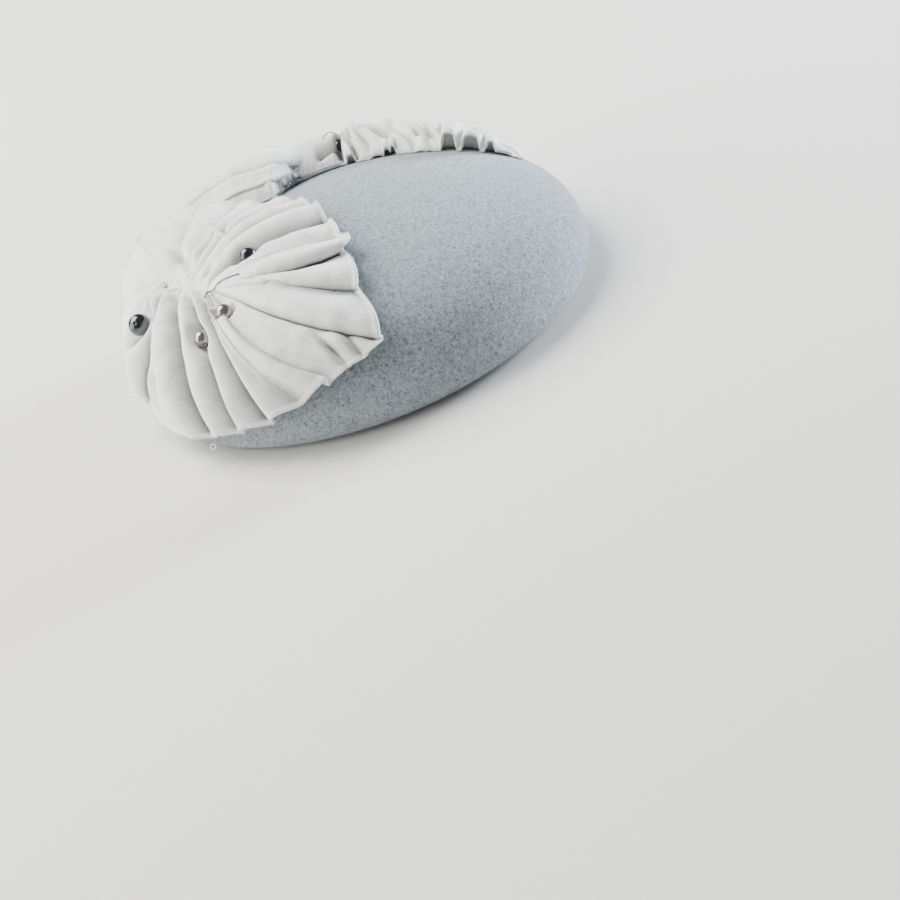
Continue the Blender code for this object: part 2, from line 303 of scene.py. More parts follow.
def linear(hex_colour: str) -> tuple[float, float, float, float]:
    """Turn an sRGB hex colour into a linear one.

    Args:
        hex_colour: six hex digits after a hash.

    Returns:
        Red, green, blue and an alpha of 1.
    """
    parts = [int(hex_colour[start : start + 2], 16) / 255 for start in (1, 3, 5)]
    red, green, blue = (
        part / 12.92 if part <= 0.04045 else ((part + 0.055) / 1.055) ** 2.4 for part in parts
    )
    return red, green, blue, 1.0


def socket(sockets: Any, key: str) -> Any:
    """Find a node's socket by its identifier, or else by its name."""
    for item in sockets:
        if item.identifier == key:
            return item
    return sockets[key]


def add_node(
    tree: Any, kind: str, settings: dict[str, Any] | None = None, links: dict[str, Any] | None = None
) -> Any:
    """Add a node with its settings and links.

    Args:
        tree: the material's node tree.
        kind: the node's type name.
        settings: values by property name, input name or input identifier.
        links: the output that feeds each named input.

    Returns:
        The new node.
    """
    node = tree.nodes.new(kind)
    for name, value in (settings or {}).items():
        if name in node.bl_rna.properties:
            setattr(node, name, value)
        else:
            socket(node.inputs, name).default_value = value
    for name, source in (links or {}).items():
        tree.links.new(source, socket(node.inputs, name))
    return node


def start_material(name: str, values: dict[str, float]) -> tuple[Any, Any, Any]:
    """Start a material whose shader has some even values.

    Args:
        name: the material's name.
        values: the shader's values by input name.

    Returns:
        The material, its node tree and its shader.
    """
    material = bpy.data.materials.new(name)
    material.use_nodes = True
    shader = material.node_tree.nodes["Principled BSDF"]
    for key, value in values.items():
        shader.inputs[key].default_value = value
    return material, material.node_tree, shader


def blend(low: float, high: float, share: float) -> float:
    """Value a share of the way from low to high."""
    return low + (high - low) * share


def ease(share: float) -> float:
    """Share eased at both ends, kept between 0 and 1."""
    share = min(max(share, 0.0), 1.0)
    return share * share * (3 - 2 * share)


def row_at(table: Sequence[Sequence[float]], share: float) -> list[float]:
    """Columns of a station table, blended evenly between its rows at a share of its run."""
    place = min(max(share, 0.0), 1.0) * (len(table) - 1)
    index = min(int(place), len(table) - 2)
    return [blend(low, high, place - index) for low, high in zip(table[index], table[index + 1])]


def dome_profile(inset: float, top_points: int, roll_points: int) -> list[tuple[float, float]]:
    """Radius and height pairs from the apex down to the rim.

    Args:
        inset: how far inside the crown's outside the profile lies.
        top_points: points from the apex to the widest ring.
        roll_points: points from the widest ring to the rim.

    Returns:
        The pairs, apex first.
    """
    radius = CROWN_RADIUS - inset
    top = CROWN_HEIGHT - inset - WIDEST_HEIGHT
    pairs = []
    for step in range(top_points):
        turn = math.cos(step / top_points * math.pi / 2)
        out = radius * (1 - turn**TOP_FULLNESS) ** (1 / TOP_FULLNESS)
        pairs.append((out, WIDEST_HEIGHT + top * turn))
    rim = (RIM_RADIUS - inset) / radius
    depth = WIDEST_HEIGHT / (1 - rim**RIM_FULLNESS) ** (1 / RIM_FULLNESS)
    for step in range(roll_points + 1):
        drop = WIDEST_HEIGHT * math.sin(step / roll_points * math.pi / 2)
        out = radius * (1 - (drop / depth) ** RIM_FULLNESS) ** (1 / RIM_FULLNESS)
        pairs.append((out, WIDEST_HEIGHT - drop))
    return pairs


class Dome:
    """The crown's outside as a map: distances measured over it from the apex."""

    def __init__(self, samples: int = 240) -> None:
        """Measure the profile, with samples points on each of its two parts."""
        low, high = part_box("felt_crown")
        self.middle = Vector(((low[0] + high[0]) / 2, (low[1] + high[1]) / 2, 0.0))
        pairs = np.array(dome_profile(0.0, samples, samples))
        steps = np.hypot(*np.diff(pairs, axis=0).T)
        self.length = np.concatenate(([0.0], np.cumsum(steps)))
        self.radius, self.height = pairs.T
        slope_out = np.gradient(self.radius, self.length)
        slope_up = np.gradient(self.height, self.length)
        size = np.hypot(slope_out, slope_up)
        self.normal_out = -slope_up / size
        self.normal_up = slope_out / size

    def place(self, flat_x: float, flat_y: float, lift: float) -> Vector:
        """Point in space, lift above the felt at a place on the map."""
        length = math.hypot(flat_x, flat_y)
        bearing = math.atan2(flat_y, flat_x)
        out = np.interp(length, self.length, self.radius)
        up = np.interp(length, self.length, self.height)
        out += lift * np.interp(length, self.length, self.normal_out)
        up += lift * np.interp(length, self.length, self.normal_up)
        return self.middle + Vector((out * math.cos(bearing), out * math.sin(bearing), up))


def deselect_all() -> None:
    """Leave edit mode, and leave nothing selected or active."""
    if bpy.context.object and bpy.context.object.mode != "OBJECT":
        bpy.ops.object.mode_set(mode="OBJECT")
    for item in bpy.context.view_layer.objects:
        item.select_set(False)
    bpy.context.view_layer.objects.active = None


def take(item: Any) -> None:
    """Select one object alone and make it active."""
    deselect_all()
    item.select_set(True)
    bpy.context.view_layer.objects.active = item


def settle(item: Any, name: str, material: Any) -> Any:
    """Name a finished piece, bake its place into its mesh and give it its material."""
    take(item)
    bpy.ops.object.transform_apply(location=True, rotation=True, scale=True)
    bpy.ops.object.shade_smooth()
    item.name = name
    item.data.name = name
    item.data.materials.clear()
    item.data.materials.append(material)
    return item


@dataclass(frozen=True)
class WoolFelt:
    """Wool felt, steamed over a block and lightly brushed: matt, with a short curled
    surface fibre that catches the light in small pale strokes and leaves dark pits."""

    pale: str = "#9CA6AC"
    deep: str = "#3C4751"
    curl: float = 1.1 * MM
    pit: float = 0.55 * MM
    roughness: float = 0.95

    def material(self) -> Any:
        """Build the felt's material."""
        matt = {"Roughness": self.roughness, "Specular IOR Level": 0.15}
        brushed = {"Sheen Weight": 0.25, "Sheen Roughness": 0.6}
        material, tree, shader = start_material("wool_felt", matt | brushed)
        place = add_node(tree, "ShaderNodeTexCoord").outputs["Object"]
        drift = add_node(
            tree, "ShaderNodeTexNoise", {"Scale": 1 / (9 * MM), "Detail": 3.0}, {"Vector": place}
        )
        curls, pits = (
            add_node(
                tree,
                "ShaderNodeTexNoise",
                {"Scale": 1 / size, "Detail": detail, "Roughness": rough, "Distortion": twist},
                {"Vector": place},
            )
            for size, detail, rough, twist in ((self.curl, 3.0, 0.55, 1.1), (self.pit, 2.0, 0.6, 0.6))
        )
        both = add_node(
            tree,
            "ShaderNodeMix",
            {"data_type": "FLOAT", "Factor_Float": 0.35},
            {"A_Float": curls.outputs["Fac"], "B_Float": pits.outputs["Fac"]},
        )
        tangle = socket(both.outputs, "Result_Float")
        shade = add_node(
            tree,
            "ShaderNodeMapRange",
            {"From Min": 0.30, "From Max": 0.60, "To Min": 0.0, "To Max": 1.0},
            {"Value": tangle},
        )
        cast = add_node(
            tree,
            "ShaderNodeMath",
            {"operation": "MULTIPLY_ADD", "Value_001": 0.16, "Value_002": -0.08},
            {"Value": drift.outputs["Fac"]},
        )
        share = add_node(
            tree,
            "ShaderNodeMath",
            {"operation": "ADD", "use_clamp": True},
            {"Value": shade.outputs["Result"], "Value_001": cast.outputs["Value"]},
        )
        colour = add_node(
            tree,
            "ShaderNodeMix",
            {"data_type": "RGBA", "A_Color": linear(self.deep), "B_Color": linear(self.pale)},
            {"Factor_Float": share.outputs["Value"]},
        )
        bump = add_node(
            tree, "ShaderNodeBump", {"Strength": 0.75, "Distance": 0.5 * MM}, {"Height": tangle}
        )
        tree.links.new(socket(colour.outputs, "Result_Color"), shader.inputs["Base Color"])
        tree.links.new(bump.outputs["Normal"], shader.inputs["Normal"])
        return material


@dataclass(frozen=True)
class SilkVelvet:
    """Cut-pile silk velvet on a thin ground: soft and nearly white, greyed by painted shade in the
    valleys of its folds, with a paler frayed raw edge that is partly a painted highlight."""

    face: str = "#F3F3F0"
    # colour of the painted shade laid into the valleys of folds, creases and dents
    painted_shade: str = "#76797C"
    # paler colour of the frayed threads, and also a painted highlight where raw edges catch the light
    raw_edge: str = "#FAFAF8"
    nap: float = 0.7 * MM
    crush: float = 7.0 * MM
    roughness: float = 0.85

    def material(self) -> Any:
        """Build the velvet's material. Its folds and raw edges come from the mesh, and so does the
        painted shade laid into its fold valleys.
        """
        matt = {"Roughness": self.roughness, "Specular IOR Level": 0.1}
        silky = {"Sheen Weight": 0.3, "Sheen Roughness": 0.35}
        material, tree, shader = start_material("silk_velvet", matt | silky)
        place = add_node(tree, "ShaderNodeTexCoord").outputs["Object"]
        crush = add_node(
            tree,
            "ShaderNodeTexNoise",
            {"Scale": 1 / self.crush, "Detail": 2.0, "Distortion": 0.8},
            {"Vector": place},
        )
        nap = add_node(
            tree,
            "ShaderNodeTexNoise",
            {"Scale": 1 / self.nap, "Detail": 2.0, "Roughness": 0.6},
            {"Vector": place},
        )
        # painted shade: how far each point is darkened towards the shade colour, read from the mesh
        deep = add_node(tree, "ShaderNodeAttribute", {"attribute_name": "painted_shade"})
        # raw edge mask: paler frayed threads, partly a painted highlight along the edges
        edge = add_node(tree, "ShaderNodeAttribute", {"attribute_name": "raw_edge"})
        brushed = add_node(
            tree,
            "ShaderNodeMath",
            {"operation": "MULTIPLY_ADD", "Value_001": 0.36, "Value_002": -0.33},
            {"Value": crush.outputs["Fac"]},
        )
        fuzz = add_node(
            tree,
            "ShaderNodeMath",
            {"operation": "MULTIPLY_ADD", "Value_001": 0.34},
            {"Value": nap.outputs["Fac"], "Value_002": brushed.outputs["Value"]},
        )
        shade = add_node(
            tree,
            "ShaderNodeMath",
            {"operation": "ADD", "use_clamp": True},
            {"Value": deep.outputs["Fac"], "Value_001": fuzz.outputs["Value"]},
        )
        # face colour greyed by painted shade in the folds, plus random tone from the crush and nap noise
        pile = add_node(
            tree,
            "ShaderNodeMix",
            {"data_type": "RGBA", "A_Color": linear(self.face), "B_Color": linear(self.painted_shade)},
            {"Factor_Float": shade.outputs["Value"]},
        )
        colour = add_node(
            tree,
            "ShaderNodeMix",
            {"data_type": "RGBA", "B_Color": linear(self.raw_edge)},
            {"Factor_Float": edge.outputs["Fac"], "A_Color": socket(pile.outputs, "Result_Color")},
        )
        bump = add_node(
            tree,
            "ShaderNodeBump",
            {"Strength": 0.6, "Distance": 0.35 * MM},
            {"Height": nap.outputs["Fac"]},
        )
        tree.links.new(socket(colour.outputs, "Result_Color"), shader.inputs["Base Color"])
        tree.links.new(bump.outputs["Normal"], shader.inputs["Normal"])
        return material


class Lustre(Enum):
    """The finishes of the glass pearls and of the threads."""

    DARK_PEARL = "dark_pearl"
    SILVER_PEARL = "silver_pearl"
    CLEAR_SEED = "clear_seed"
    NAVY_THREAD = "navy_thread"
    GREY_THREAD = "grey_thread"


@dataclass(frozen=True)
class Glaze:
    """A pearl's lacquer or a thread: glass pearls are dipped, so they are smooth and
    mirror the room with a soft edge, and cotton thread is matt."""

    colour: str
    cloud: str
    metallic: float
    roughness: float
    coat: float

    def material(self, name: str) -> Any:
        """Build the material under a name."""
        body = {"Metallic": self.metallic, "Roughness": self.roughness}
        lacquer = {"Coat Weight": self.coat, "Coat Roughness": 0.05}
        material, tree, shader = start_material(name, body | lacquer)
        place = add_node(tree, "ShaderNodeTexCoord").outputs["Object"]
        swirl = add_node(
            tree,
            "ShaderNodeTexNoise",
            {"Scale": 1 / (2.5 * MM), "Detail": 2.0, "Distortion": 1.5},
            {"Vector": place},
        )
        colour = add_node(
            tree,
            "ShaderNodeMix",
            {"data_type": "RGBA", "A_Color": linear(self.colour), "B_Color": linear(self.cloud)},
            {"Factor_Float": swirl.outputs["Fac"]},
        )
        tree.links.new(socket(colour.outputs, "Result_Color"), shader.inputs["Base Color"])
        return material


GLAZES = {
    Lustre.DARK_PEARL: Glaze("#0C1217", "#1E2A33", 0.4, 0.20, 1.0),
    Lustre.SILVER_PEARL: Glaze("#6E6B66", "#A3A09A", 0.8, 0.22, 1.0),
    Lustre.CLEAR_SEED: Glaze("#DAD8D2", "#F2F0EC", 0.2, 0.12, 1.0),
    Lustre.NAVY_THREAD: Glaze("#1B2740", "#26375A", 0.0, 0.7, 0.0),
    Lustre.GREY_THREAD: Glaze("#8A8C8C", "#A8AAA9", 0.0, 0.7, 0.0),
}


@dataclass
class FeltCrown:
    """The moulded crown: one felt wall, turned, with a rounded rolled-in rim."""

    dome: Dome
    top_points: int = 44
    roll_points: int = 16
    turns: int = 192
    rim_round: float = 0.8 * MM

    def build(self, material: Any) -> Any:
        """Draw the profile point by point, spin it and round its rim."""
        outside = dome_profile(0.0, self.top_points, self.roll_points)
        inside = dome_profile(FELT_WALL, self.top_points, self.roll_points)
        profile = [Vector((out, 0.0, up)) for out, up in outside + inside[::-1]]
        deselect_all()
        bpy.ops.mesh.primitive_plane_add(size=MM, location=(0.0, 0.0, 0.0))
        crown = bpy.context.object
        bpy.ops.object.mode_set(mode="EDIT")
        bpy.ops.mesh.merge(type="CENTER")
        bpy.ops.transform.translate(value=profile[0])
        for before, after in zip(profile, profile[1:]):
            bpy.ops.mesh.extrude_region_move(TRANSFORM_OT_translate={"value": after - before})
        bpy.ops.mesh.select_all(action="SELECT")
        bpy.ops.mesh.spin(
            steps=self.turns, angle=2 * math.pi, center=(0.0, 0.0, 0.0), axis=(0.0, 0.0, 1.0)
        )
        bpy.ops.mesh.select_all(action="SELECT")
        bpy.ops.mesh.remove_doubles(threshold=MERGE_DISTANCE)
        bpy.ops.mesh.normals_make_consistent(inside=False)
        bpy.ops.object.mode_set(mode="OBJECT")
        rounding = crown.modifiers.new("rim", "BEVEL")
        rounding.width = self.rim_round
        rounding.segments = 4
        rounding.limit_method = "ANGLE"
        rounding.angle_limit = math.radians(50)
        bpy.ops.object.modifier_apply(modifier=rounding.name)
        crown.location = self.dome.middle
        return settle(crown, "moulded_crown", material)


class Drape(NamedTuple):
    """A point of the cloth: its place on the map, its lift, how much painted shade darkens it in a fold
    and how near it is to a raw edge, both from 0 to 1."""

    flat_x: float
    flat_y: float
    rise: float
    painted_shade: float
    raw_edge: float


@dataclass
class VelvetSheet:
    """A sheet of velvet that is gathered and laid over the crown."""

    dome: Dome
    name: str
    first_steps: int
    second_steps: int
    beads: Sequence[BeadSeat]

    def drape(self, first: float, second: float) -> Drape:
        """Where the cloth lies, by its two shares. Each sheet has its own."""
        raise NotImplementedError

    def raw_place(self, share: float) -> tuple[float, float, float, float]:
        """Both shares of a place on a raw edge, then of the place just inside it."""
        raise NotImplementedError

    def stitched_down(self, flat_x: float, flat_y: float) -> float:
        """Share by which the stitches of the nearest bead pull the cloth down."""
        pull = 0.0
        for seat in self.beads:
            away = Vector((flat_x - seat.flat_x, flat_y - seat.flat_y))
            away.rotate(Matrix.Rotation(-math.radians(seat.bearing), 2))
            share = (away.x / seat.long) ** 2 + (away.y / seat.wide) ** 2
            pull = max(pull, math.exp(-((share / seat.radius**2) ** 2)))
        return pull

    def crinkle(self, flat_x: float, flat_y: float, width: float, height: float) -> float:
        """Small soft unevenness of the cloth, width across and height at most."""
        return height * noise.noise(Vector((flat_x / width, flat_y / width, 3.7)))

    def point(self, first: float, second: float) -> Vector:
        """Point in space of the cloth's face."""
        spot = self.drape(first, second)
        return self.dome.place(spot.flat_x, spot.flat_y, spot.rise)

    def build(self, material: Any) -> Any:
        """Lay a grid of cloth over the crown and give it its wall."""
        deselect_all()
        bpy.ops.mesh.primitive_grid_add(
            x_subdivisions=self.first_steps, y_subdivisions=self.second_steps, size=1.0
        )
        cloth = bpy.context.object
        mesh = cloth.data
        # painted shade of the folds, kept on the mesh for the velvet's colour
        painted_shade = mesh.attributes.new("painted_shade", "FLOAT", "POINT")
        raw_edge = mesh.attributes.new("raw_edge", "FLOAT", "POINT")
        for vert in mesh.vertices:
            spot = self.drape(vert.co.x + 0.5, vert.co.y + 0.5)
            vert.co = self.dome.place(spot.flat_x, spot.flat_y, spot.rise)
            painted_shade.data[vert.index].value = spot.painted_shade
            raw_edge.data[vert.index].value = spot.raw_edge
        mesh.update()
        middle = self.dome.middle
        outward = sum(face.normal.dot(face.center - middle) * face.area for face in mesh.polygons)
        bpy.ops.object.mode_set(mode="EDIT")
        bpy.ops.mesh.select_all(action="SELECT")
        bpy.ops.mesh.remove_doubles(threshold=MERGE_DISTANCE)
        if outward < 0:
            bpy.ops.mesh.flip_normals()
        bpy.ops.object.mode_set(mode="OBJECT")
        wall = cloth.modifiers.new("wall", "SOLIDIFY")
        wall.thickness = VELVET_WALL
        wall.offset = -1.0
        bpy.ops.object.modifier_apply(modifier=wall.name)
        return settle(cloth, self.name, material)

    def cloth_area(self) -> float:
        """Area of the cloth's face, before its wall."""
        rows = [
            [
                self.point(first / self.first_steps, second / self.second_steps)
                for second in range(self.second_steps + 1)
            ]
            for first in range(self.first_steps + 1)
        ]
        total = 0.0
        for lower, upper in zip(rows, rows[1:]):
            for index in range(self.second_steps):
                across = upper[index + 1] - lower[index]
                total += across.cross(upper[index] - lower[index + 1]).length / 2
        return total


@dataclass
class VelvetFan(VelvetSheet):
    """The fan: velvet gathered on a short seam, whose pleats overlap as they run out."""

    seam_x: float = 7.0 * MM
    seam_y: float = -53.0 * MM
    seam_length: float = 36.0 * MM
    seam_width: float = 5.0 * MM
    seam_bearing: float = 30.0
    seam_share: float = 0.10
    seam_lift: float = 4.6 * MM
    swell: float = 2.6 * MM
    lip_place: float = 0.07
    bends_at: float = 0.35

    def ring_point(self, bearing: float, half_long: float, half_wide: float) -> Vector:
        """Point of an ellipse at a bearing in degrees."""
        turn = math.radians(bearing)
        return Vector((half_long * math.cos(turn), half_wide * math.sin(turn)))

    def drape(self, first: float, second: float) -> Drape:
        """Where the fan lies, by shares outward from the seam and round it."""
        count = len(FAN_PLEATS)
        place = second * count
        index = min(int(place + 1e-9), count - 1)
        run = 0.5 - 0.5 * math.cos(math.pi * (place - index))
        here = FAN_PLEATS[index]
        after = FAN_PLEATS[(index + 1) % count]
        full_turn = 360.0 if index == count - 1 else 0.0
        spread = max(0.0, (first - self.seam_share) / (1 - self.seam_share))
        reach = blend(here.reach, after.reach, run) * FAN_REACH
        radius = max(blend(self.seam_length / 3, reach, spread), 6 * MM)
        bend = max(0.0, (spread - self.bends_at) / (1 - self.bends_at)) ** 1.4
        aim_here = blend(here.middle, here.outer, bend)
        aim_after = blend(after.middle, after.outer, bend) + full_turn
        lip_growth = ease(spread / 0.25) * (1 - 0.15 * spread)
        over = math.degrees(MM / radius) * lip_growth
        before, beyond = (
            away / self.lip_place * math.exp(1 - away / self.lip_place) for away in (run, 1 - run)
        )
        slide = over * (here.lip_after * beyond - here.lip_before * before)
        wide = here.crest if run < here.crest else 1 - here.crest
        side = (run if run < here.crest else 1 - run) / wide
        section = math.sin(math.pi / 2 * side) ** (0.45 + 1.15 * wide)
        inner = min(1.0, first / self.seam_share)
        start = self.ring_point(
            blend(here.inner, after.inner + full_turn, run) - self.seam_bearing,
            self.seam_length / 2 * min(1.0, 8 * inner),
            self.seam_width / 2 * inner,
        )
        start.rotate(Matrix.Rotation(math.radians(self.seam_bearing), 2))
        end = self.ring_point(
            blend(aim_here, aim_after, run) + slide,
            reach + here.tip * MM * section,
            reach + here.tip * MM * section,
        )
        spot = start.lerp(end, spread)
        flat_x = self.seam_x + spot.x
        flat_y = self.seam_y + spot.y
        lift = blend(here.lift, after.lift, run)
        floor = blend(here.floor(spread), after.floor(spread), run)
        fold = floor + max(here.ridge - floor, 0.0) * section
        rise = blend(self.seam_lift - 1.2 * MM * (1 - inner), lift * LOFT, spread**0.8)
        rise += self.swell * math.sin(math.pi * spread) * blend(0.2, 1.0, min(1.0, fold / 0.6))
        rise += FOLD_HEIGHT * fold * spread**0.55 * (1 - 0.40 * spread**2)
        dent = self.puckers(flat_x, flat_y)
        rise += dent
        rise += 0.8 * MM * math.exp(-(((1 - first) / 0.012) ** 2))
        gathers = 1.1 * MM * math.exp(-((spread / 0.2) ** 2)) * inner
        rise += gathers * noise.noise(Vector((second * 46, spread * 3, 2.1)))
        rise += self.crinkle(flat_x, flat_y, 6.0 * MM, 0.45 * MM)
        rise += self.crinkle(flat_x, flat_y, 2.4 * MM, 0.16 * MM)
        rise = max(rise, LOWEST_LIFT)
        rise = blend(rise, LOWEST_LIFT, self.stitched_down(flat_x, flat_y))
        # Painted shade: the cloth is darkened in the valleys between pleats and in the puckers' dents.
        painted_shade = 1.25 * (1 - section) ** 1.6 * max(0.0, here.ridge - floor) * ease(spread / 0.3)
        painted_shade += max(0.0, -dent) / (5 * MM)
        # Raw edge: paler frayed threads, partly a painted highlight along the outer edge.
        raw_edge = ease((first - 0.975) / 0.018)
        return Drape(flat_x, flat_y, rise, min(1.0, painted_shade), raw_edge)

    def raw_place(self, share: float) -> tuple[float, float, float, float]:
        """Place on the outer edge."""
        return 1.0, share, 0.985, share

    def puckers(self, flat_x: float, flat_y: float) -> float:
        """Sum of the small dents and bumps at a place on the map."""
        total = 0.0
        for pucker in FAN_PUCKERS:
            away = Vector((flat_x - pucker.flat_x * MM, flat_y - pucker.flat_y * MM))
            away.rotate(Matrix.Rotation(-math.radians(pucker.bearing), 2))
            share = (away.x / (pucker.long * MM)) ** 2 + (away.y / (pucker.wide * MM)) ** 2
            if share < 9:
                total -= pucker.depth * MM * math.exp(-share)
        return total

    def edge_at(self, bearing: float, apart: float) -> Vector:
        """Place on the map outside the fan's edge at a bearing round the seam."""
        bearings = [pleat.outer for pleat in FAN_PLEATS]
        reaches = [pleat.reach for pleat in FAN_PLEATS]
        reach = (float(np.interp(bearing, bearings, reaches)) + apart) * FAN_REACH + 2.2 * MM
        spot = self.ring_point(bearing, reach, reach)
        return Vector((self.seam_x + spot.x, self.seam_y + spot.y))


@dataclass
class VelvetPuff(VelvetSheet):
    """The puff behind the fan: lengthwise pleats whose raw ends stop one past another."""

    fan: VelvetFan | None = None
    bounds: tuple[float, ...] = (0.0, 0.10, 0.25, 1.0)
    pleat_height: float = 4.2 * MM
    lean: float = 1.6 * MM

    def pleat_end(self, second: float) -> float:
        """Share along the puff where a pleat's raw end stops, by the share across."""
        middle = blend(0.955, 0.855, (second - 0.36) / 0.27)
        end = blend(0.80, middle, ease((second - 0.31) / 0.05))
        return blend(end, 1.3, ease((second - 0.64) / 0.05))

    def raw_place(self, share: float) -> tuple[float, float, float, float]:
        """Place on the raw ends of the pleats."""
        end = min(self.pleat_end(share), 1.0)
        return end - 0.002, share, end - 0.03, share

    def drape(self, first: float, second: float) -> Drape:
        """Where the puff lies, by shares along it and across it from the fan."""
        count = len(self.bounds) - 1
        index = min(int(second * count), count - 1)
        local = second * count - index
        bearing, apart, far_x, far_y, crest = row_at(PUFF_STATIONS, first)
        near = self.fan.edge_at(bearing, apart)
        run = blend(local, 0.5 - 0.5 * math.cos(math.pi * local), 0.8)
        fold = math.sin(math.pi * local) ** 0.7
        hang = self.lean * math.exp(-(((local - 0.12) / 0.12) ** 2)) * (index > 0)
        across = blend(self.bounds[index], self.bounds[index + 1], run)
        arch = max(0.0, math.sin(math.pi * across)) ** 0.6
        start = math.sin(math.pi / 2 * min(1.0, first / 0.05)) ** 0.5
        dip = self.pleat_height * (1 - fold) * (local < 0.5 or index < count - 1)
        rise = (crest * LOFT - dip) * arch * start
        past = first - self.pleat_end(second)
        stopped = ease(past / 0.012)
        rise += 0.9 * MM * math.exp(-(((past + 0.012) / 0.014) ** 2)) * fold
        rise = blend(rise, rise * (0.30 if index == 0 else 0.60), stopped)
        flat_x = blend(near.x, far_x * CROWN_RADIUS, across) + hang
        flat_y = blend(near.y, far_y * CROWN_RADIUS, across)
        rise += (1 - stopped) * self.crinkle(flat_x, flat_y, 7.0 * MM, 0.6 * MM)
        rise += (1 - stopped) * self.crinkle(flat_x, flat_y, 2.5 * MM, 0.15 * MM)
        rise = max(rise, LOWEST_LIFT)
        # Raw edge: paler frayed threads, partly a painted highlight at the pleats' ends and far edge.
        raw_edge = max(math.exp(-((past / 0.010) ** 2)), ease((second - 0.985) / 0.012))
        # Painted shade: darker in the valleys between pleats and over the lower layer past their raw
        # ends.
        painted_shade = 0.9 * (1 - fold) ** 2 + 0.5 * stopped
        return Drape(flat_x, flat_y, rise, min(1.0, painted_shade), raw_edge)


@dataclass
class VelvetRuffle(VelvetSheet):
    """The flap and ruffle: one strip, pinched at its beaded gather. Its near edge is
    turned under and stands off the felt in arches, and its back is a soft ridge."""

    gather: float = 0.262
    length: float = 95.0 * MM
    width: float = 27.0 * MM
    hem: float = 0.16
    hem_depth: float = 0.26
    roll_depth: float = 0.07
    edge_lift: float = 0.5 * MM
    flap_lift: float = 1.8 * MM

    def drape(self, first: float, second: float) -> Drape:
        """Where the strip lies, by shares along it and across it from its hidden hem."""
        near_x, near_y, far_x, far_y, crest = row_at(RUFFLE_STATIONS, first)
        frilled = ease((first - self.gather) / 0.05)
        under = max(0.0, 1 - second / self.hem)
        across = max(0.0, (second - self.hem) / (1 - self.hem))
        stand = blend(self.flap_lift, self.edge_lift, frilled) + self.arch_lift(first, 0.0)
        if under > 0:
            across = blend(self.roll_depth, self.hem_depth, frilled) * under**0.8
            rise = stand - 1.1 * MM * ease(under / 0.15)
            rise = max(rise * (1 - ease((under - 0.5) / 0.5)), 0.2 * MM)
        else:
            rise = self.top_lift(first, across, stand, crest, frilled)
        ends = min(1.0, (1 - first) / 0.03)
        rise *= math.sin(math.pi / 2 * ends) ** 0.5
        ragged = 0.5 * MM * noise.noise(Vector((first * 60.0, 0.5, 9.1)))
        ragged *= max(0.0, 1 - across / 0.06)
        flat_x = blend(near_x, far_x, across) * CROWN_RADIUS + ragged
        flat_y = blend(near_y, far_y, across) * CROWN_RADIUS
        # Raw edge: paler frayed threads, partly a painted highlight along the hem and the ends.
        edge = 1 - min(1.0, abs(second - self.hem) / 0.035)
        raw_edge = max(ease(edge) * blend(1.0, 0.6, frilled), ease((second - 0.97) / 0.02))
        raw_edge = max(raw_edge, ease((0.02 - first) / 0.012))
        # Painted shade: a little under the turned hem, and darker along the creases.
        painted_shade = 0.1 if under > 0.1 else self.creases(first, across) / (4.0 * MM)
        return Drape(flat_x, flat_y, rise, min(max(painted_shade, 0.0), 1.0), raw_edge)

    def raw_place(self, share: float) -> tuple[float, float, float, float]:
        """Place on the near edge."""
        return share, self.hem, share, self.hem + 0.03

    def top_lift(
        self, first: float, across: float, stand: float, crest: float, frilled: float
    ) -> float:
        """Lift of the strip's upper side."""
        arch = max(0.0, math.sin(math.pi * across)) ** 0.7
        base = blend(self.flap_lift, self.edge_lift, frilled) * max(0.0, 1 - across / 0.2)
        rise = LOFT * crest * arch + base + self.arch_lift(first, across)
        near_side = math.sin(math.pi * min(1.0, across / 0.55)) ** 0.7 if across < 0.55 else 0.0
        wave = noise.noise(Vector(((first + 0.3 * across) * 46.0, across * 2.0, 1.2)))
        rise += frilled * 1.2 * MM * wave * (near_side + 0.15)
        rise -= self.creases(first, across)
        rise += self.crinkle(first * self.length, across * self.width, 5.0 * MM, 0.4 * MM)
        return max(rise, self.edge_lift, stand * max(0.0, 1 - across / 0.1))

    def arch_lift(self, first: float, across: float) -> float:
        """How far the arches lift the strip."""
        lift = 0.0
        for item in RUFFLE_ARCHES:
            away = min(1.0, abs(first - item.middle) / item.half_width)
            reach = max(0.0, 1 - across / item.depth)
            lift = max(lift, item.lift * MM * (1 - away**3) ** 0.5 * reach**0.7)
        return lift

    def creases(self, first: float, across: float) -> float:
        """Depth of the fold lines at a place on the strip."""
        spot = Vector((first * self.length, across * self.width))
        deep = 0.0
        for item in RUFFLE_CREASES:
            start = Vector((item.first * self.length, item.across * self.width))
            run = Vector((item.last * self.length, item.last_across * self.width)) - start
            share = min(max((spot - start).dot(run) / run.length_squared, 0.0), 1.0)
            away = (spot - start - run * share).length / (item.wide * MM)
            deep += item.depth * MM * math.exp(-(away**2))
        return deep


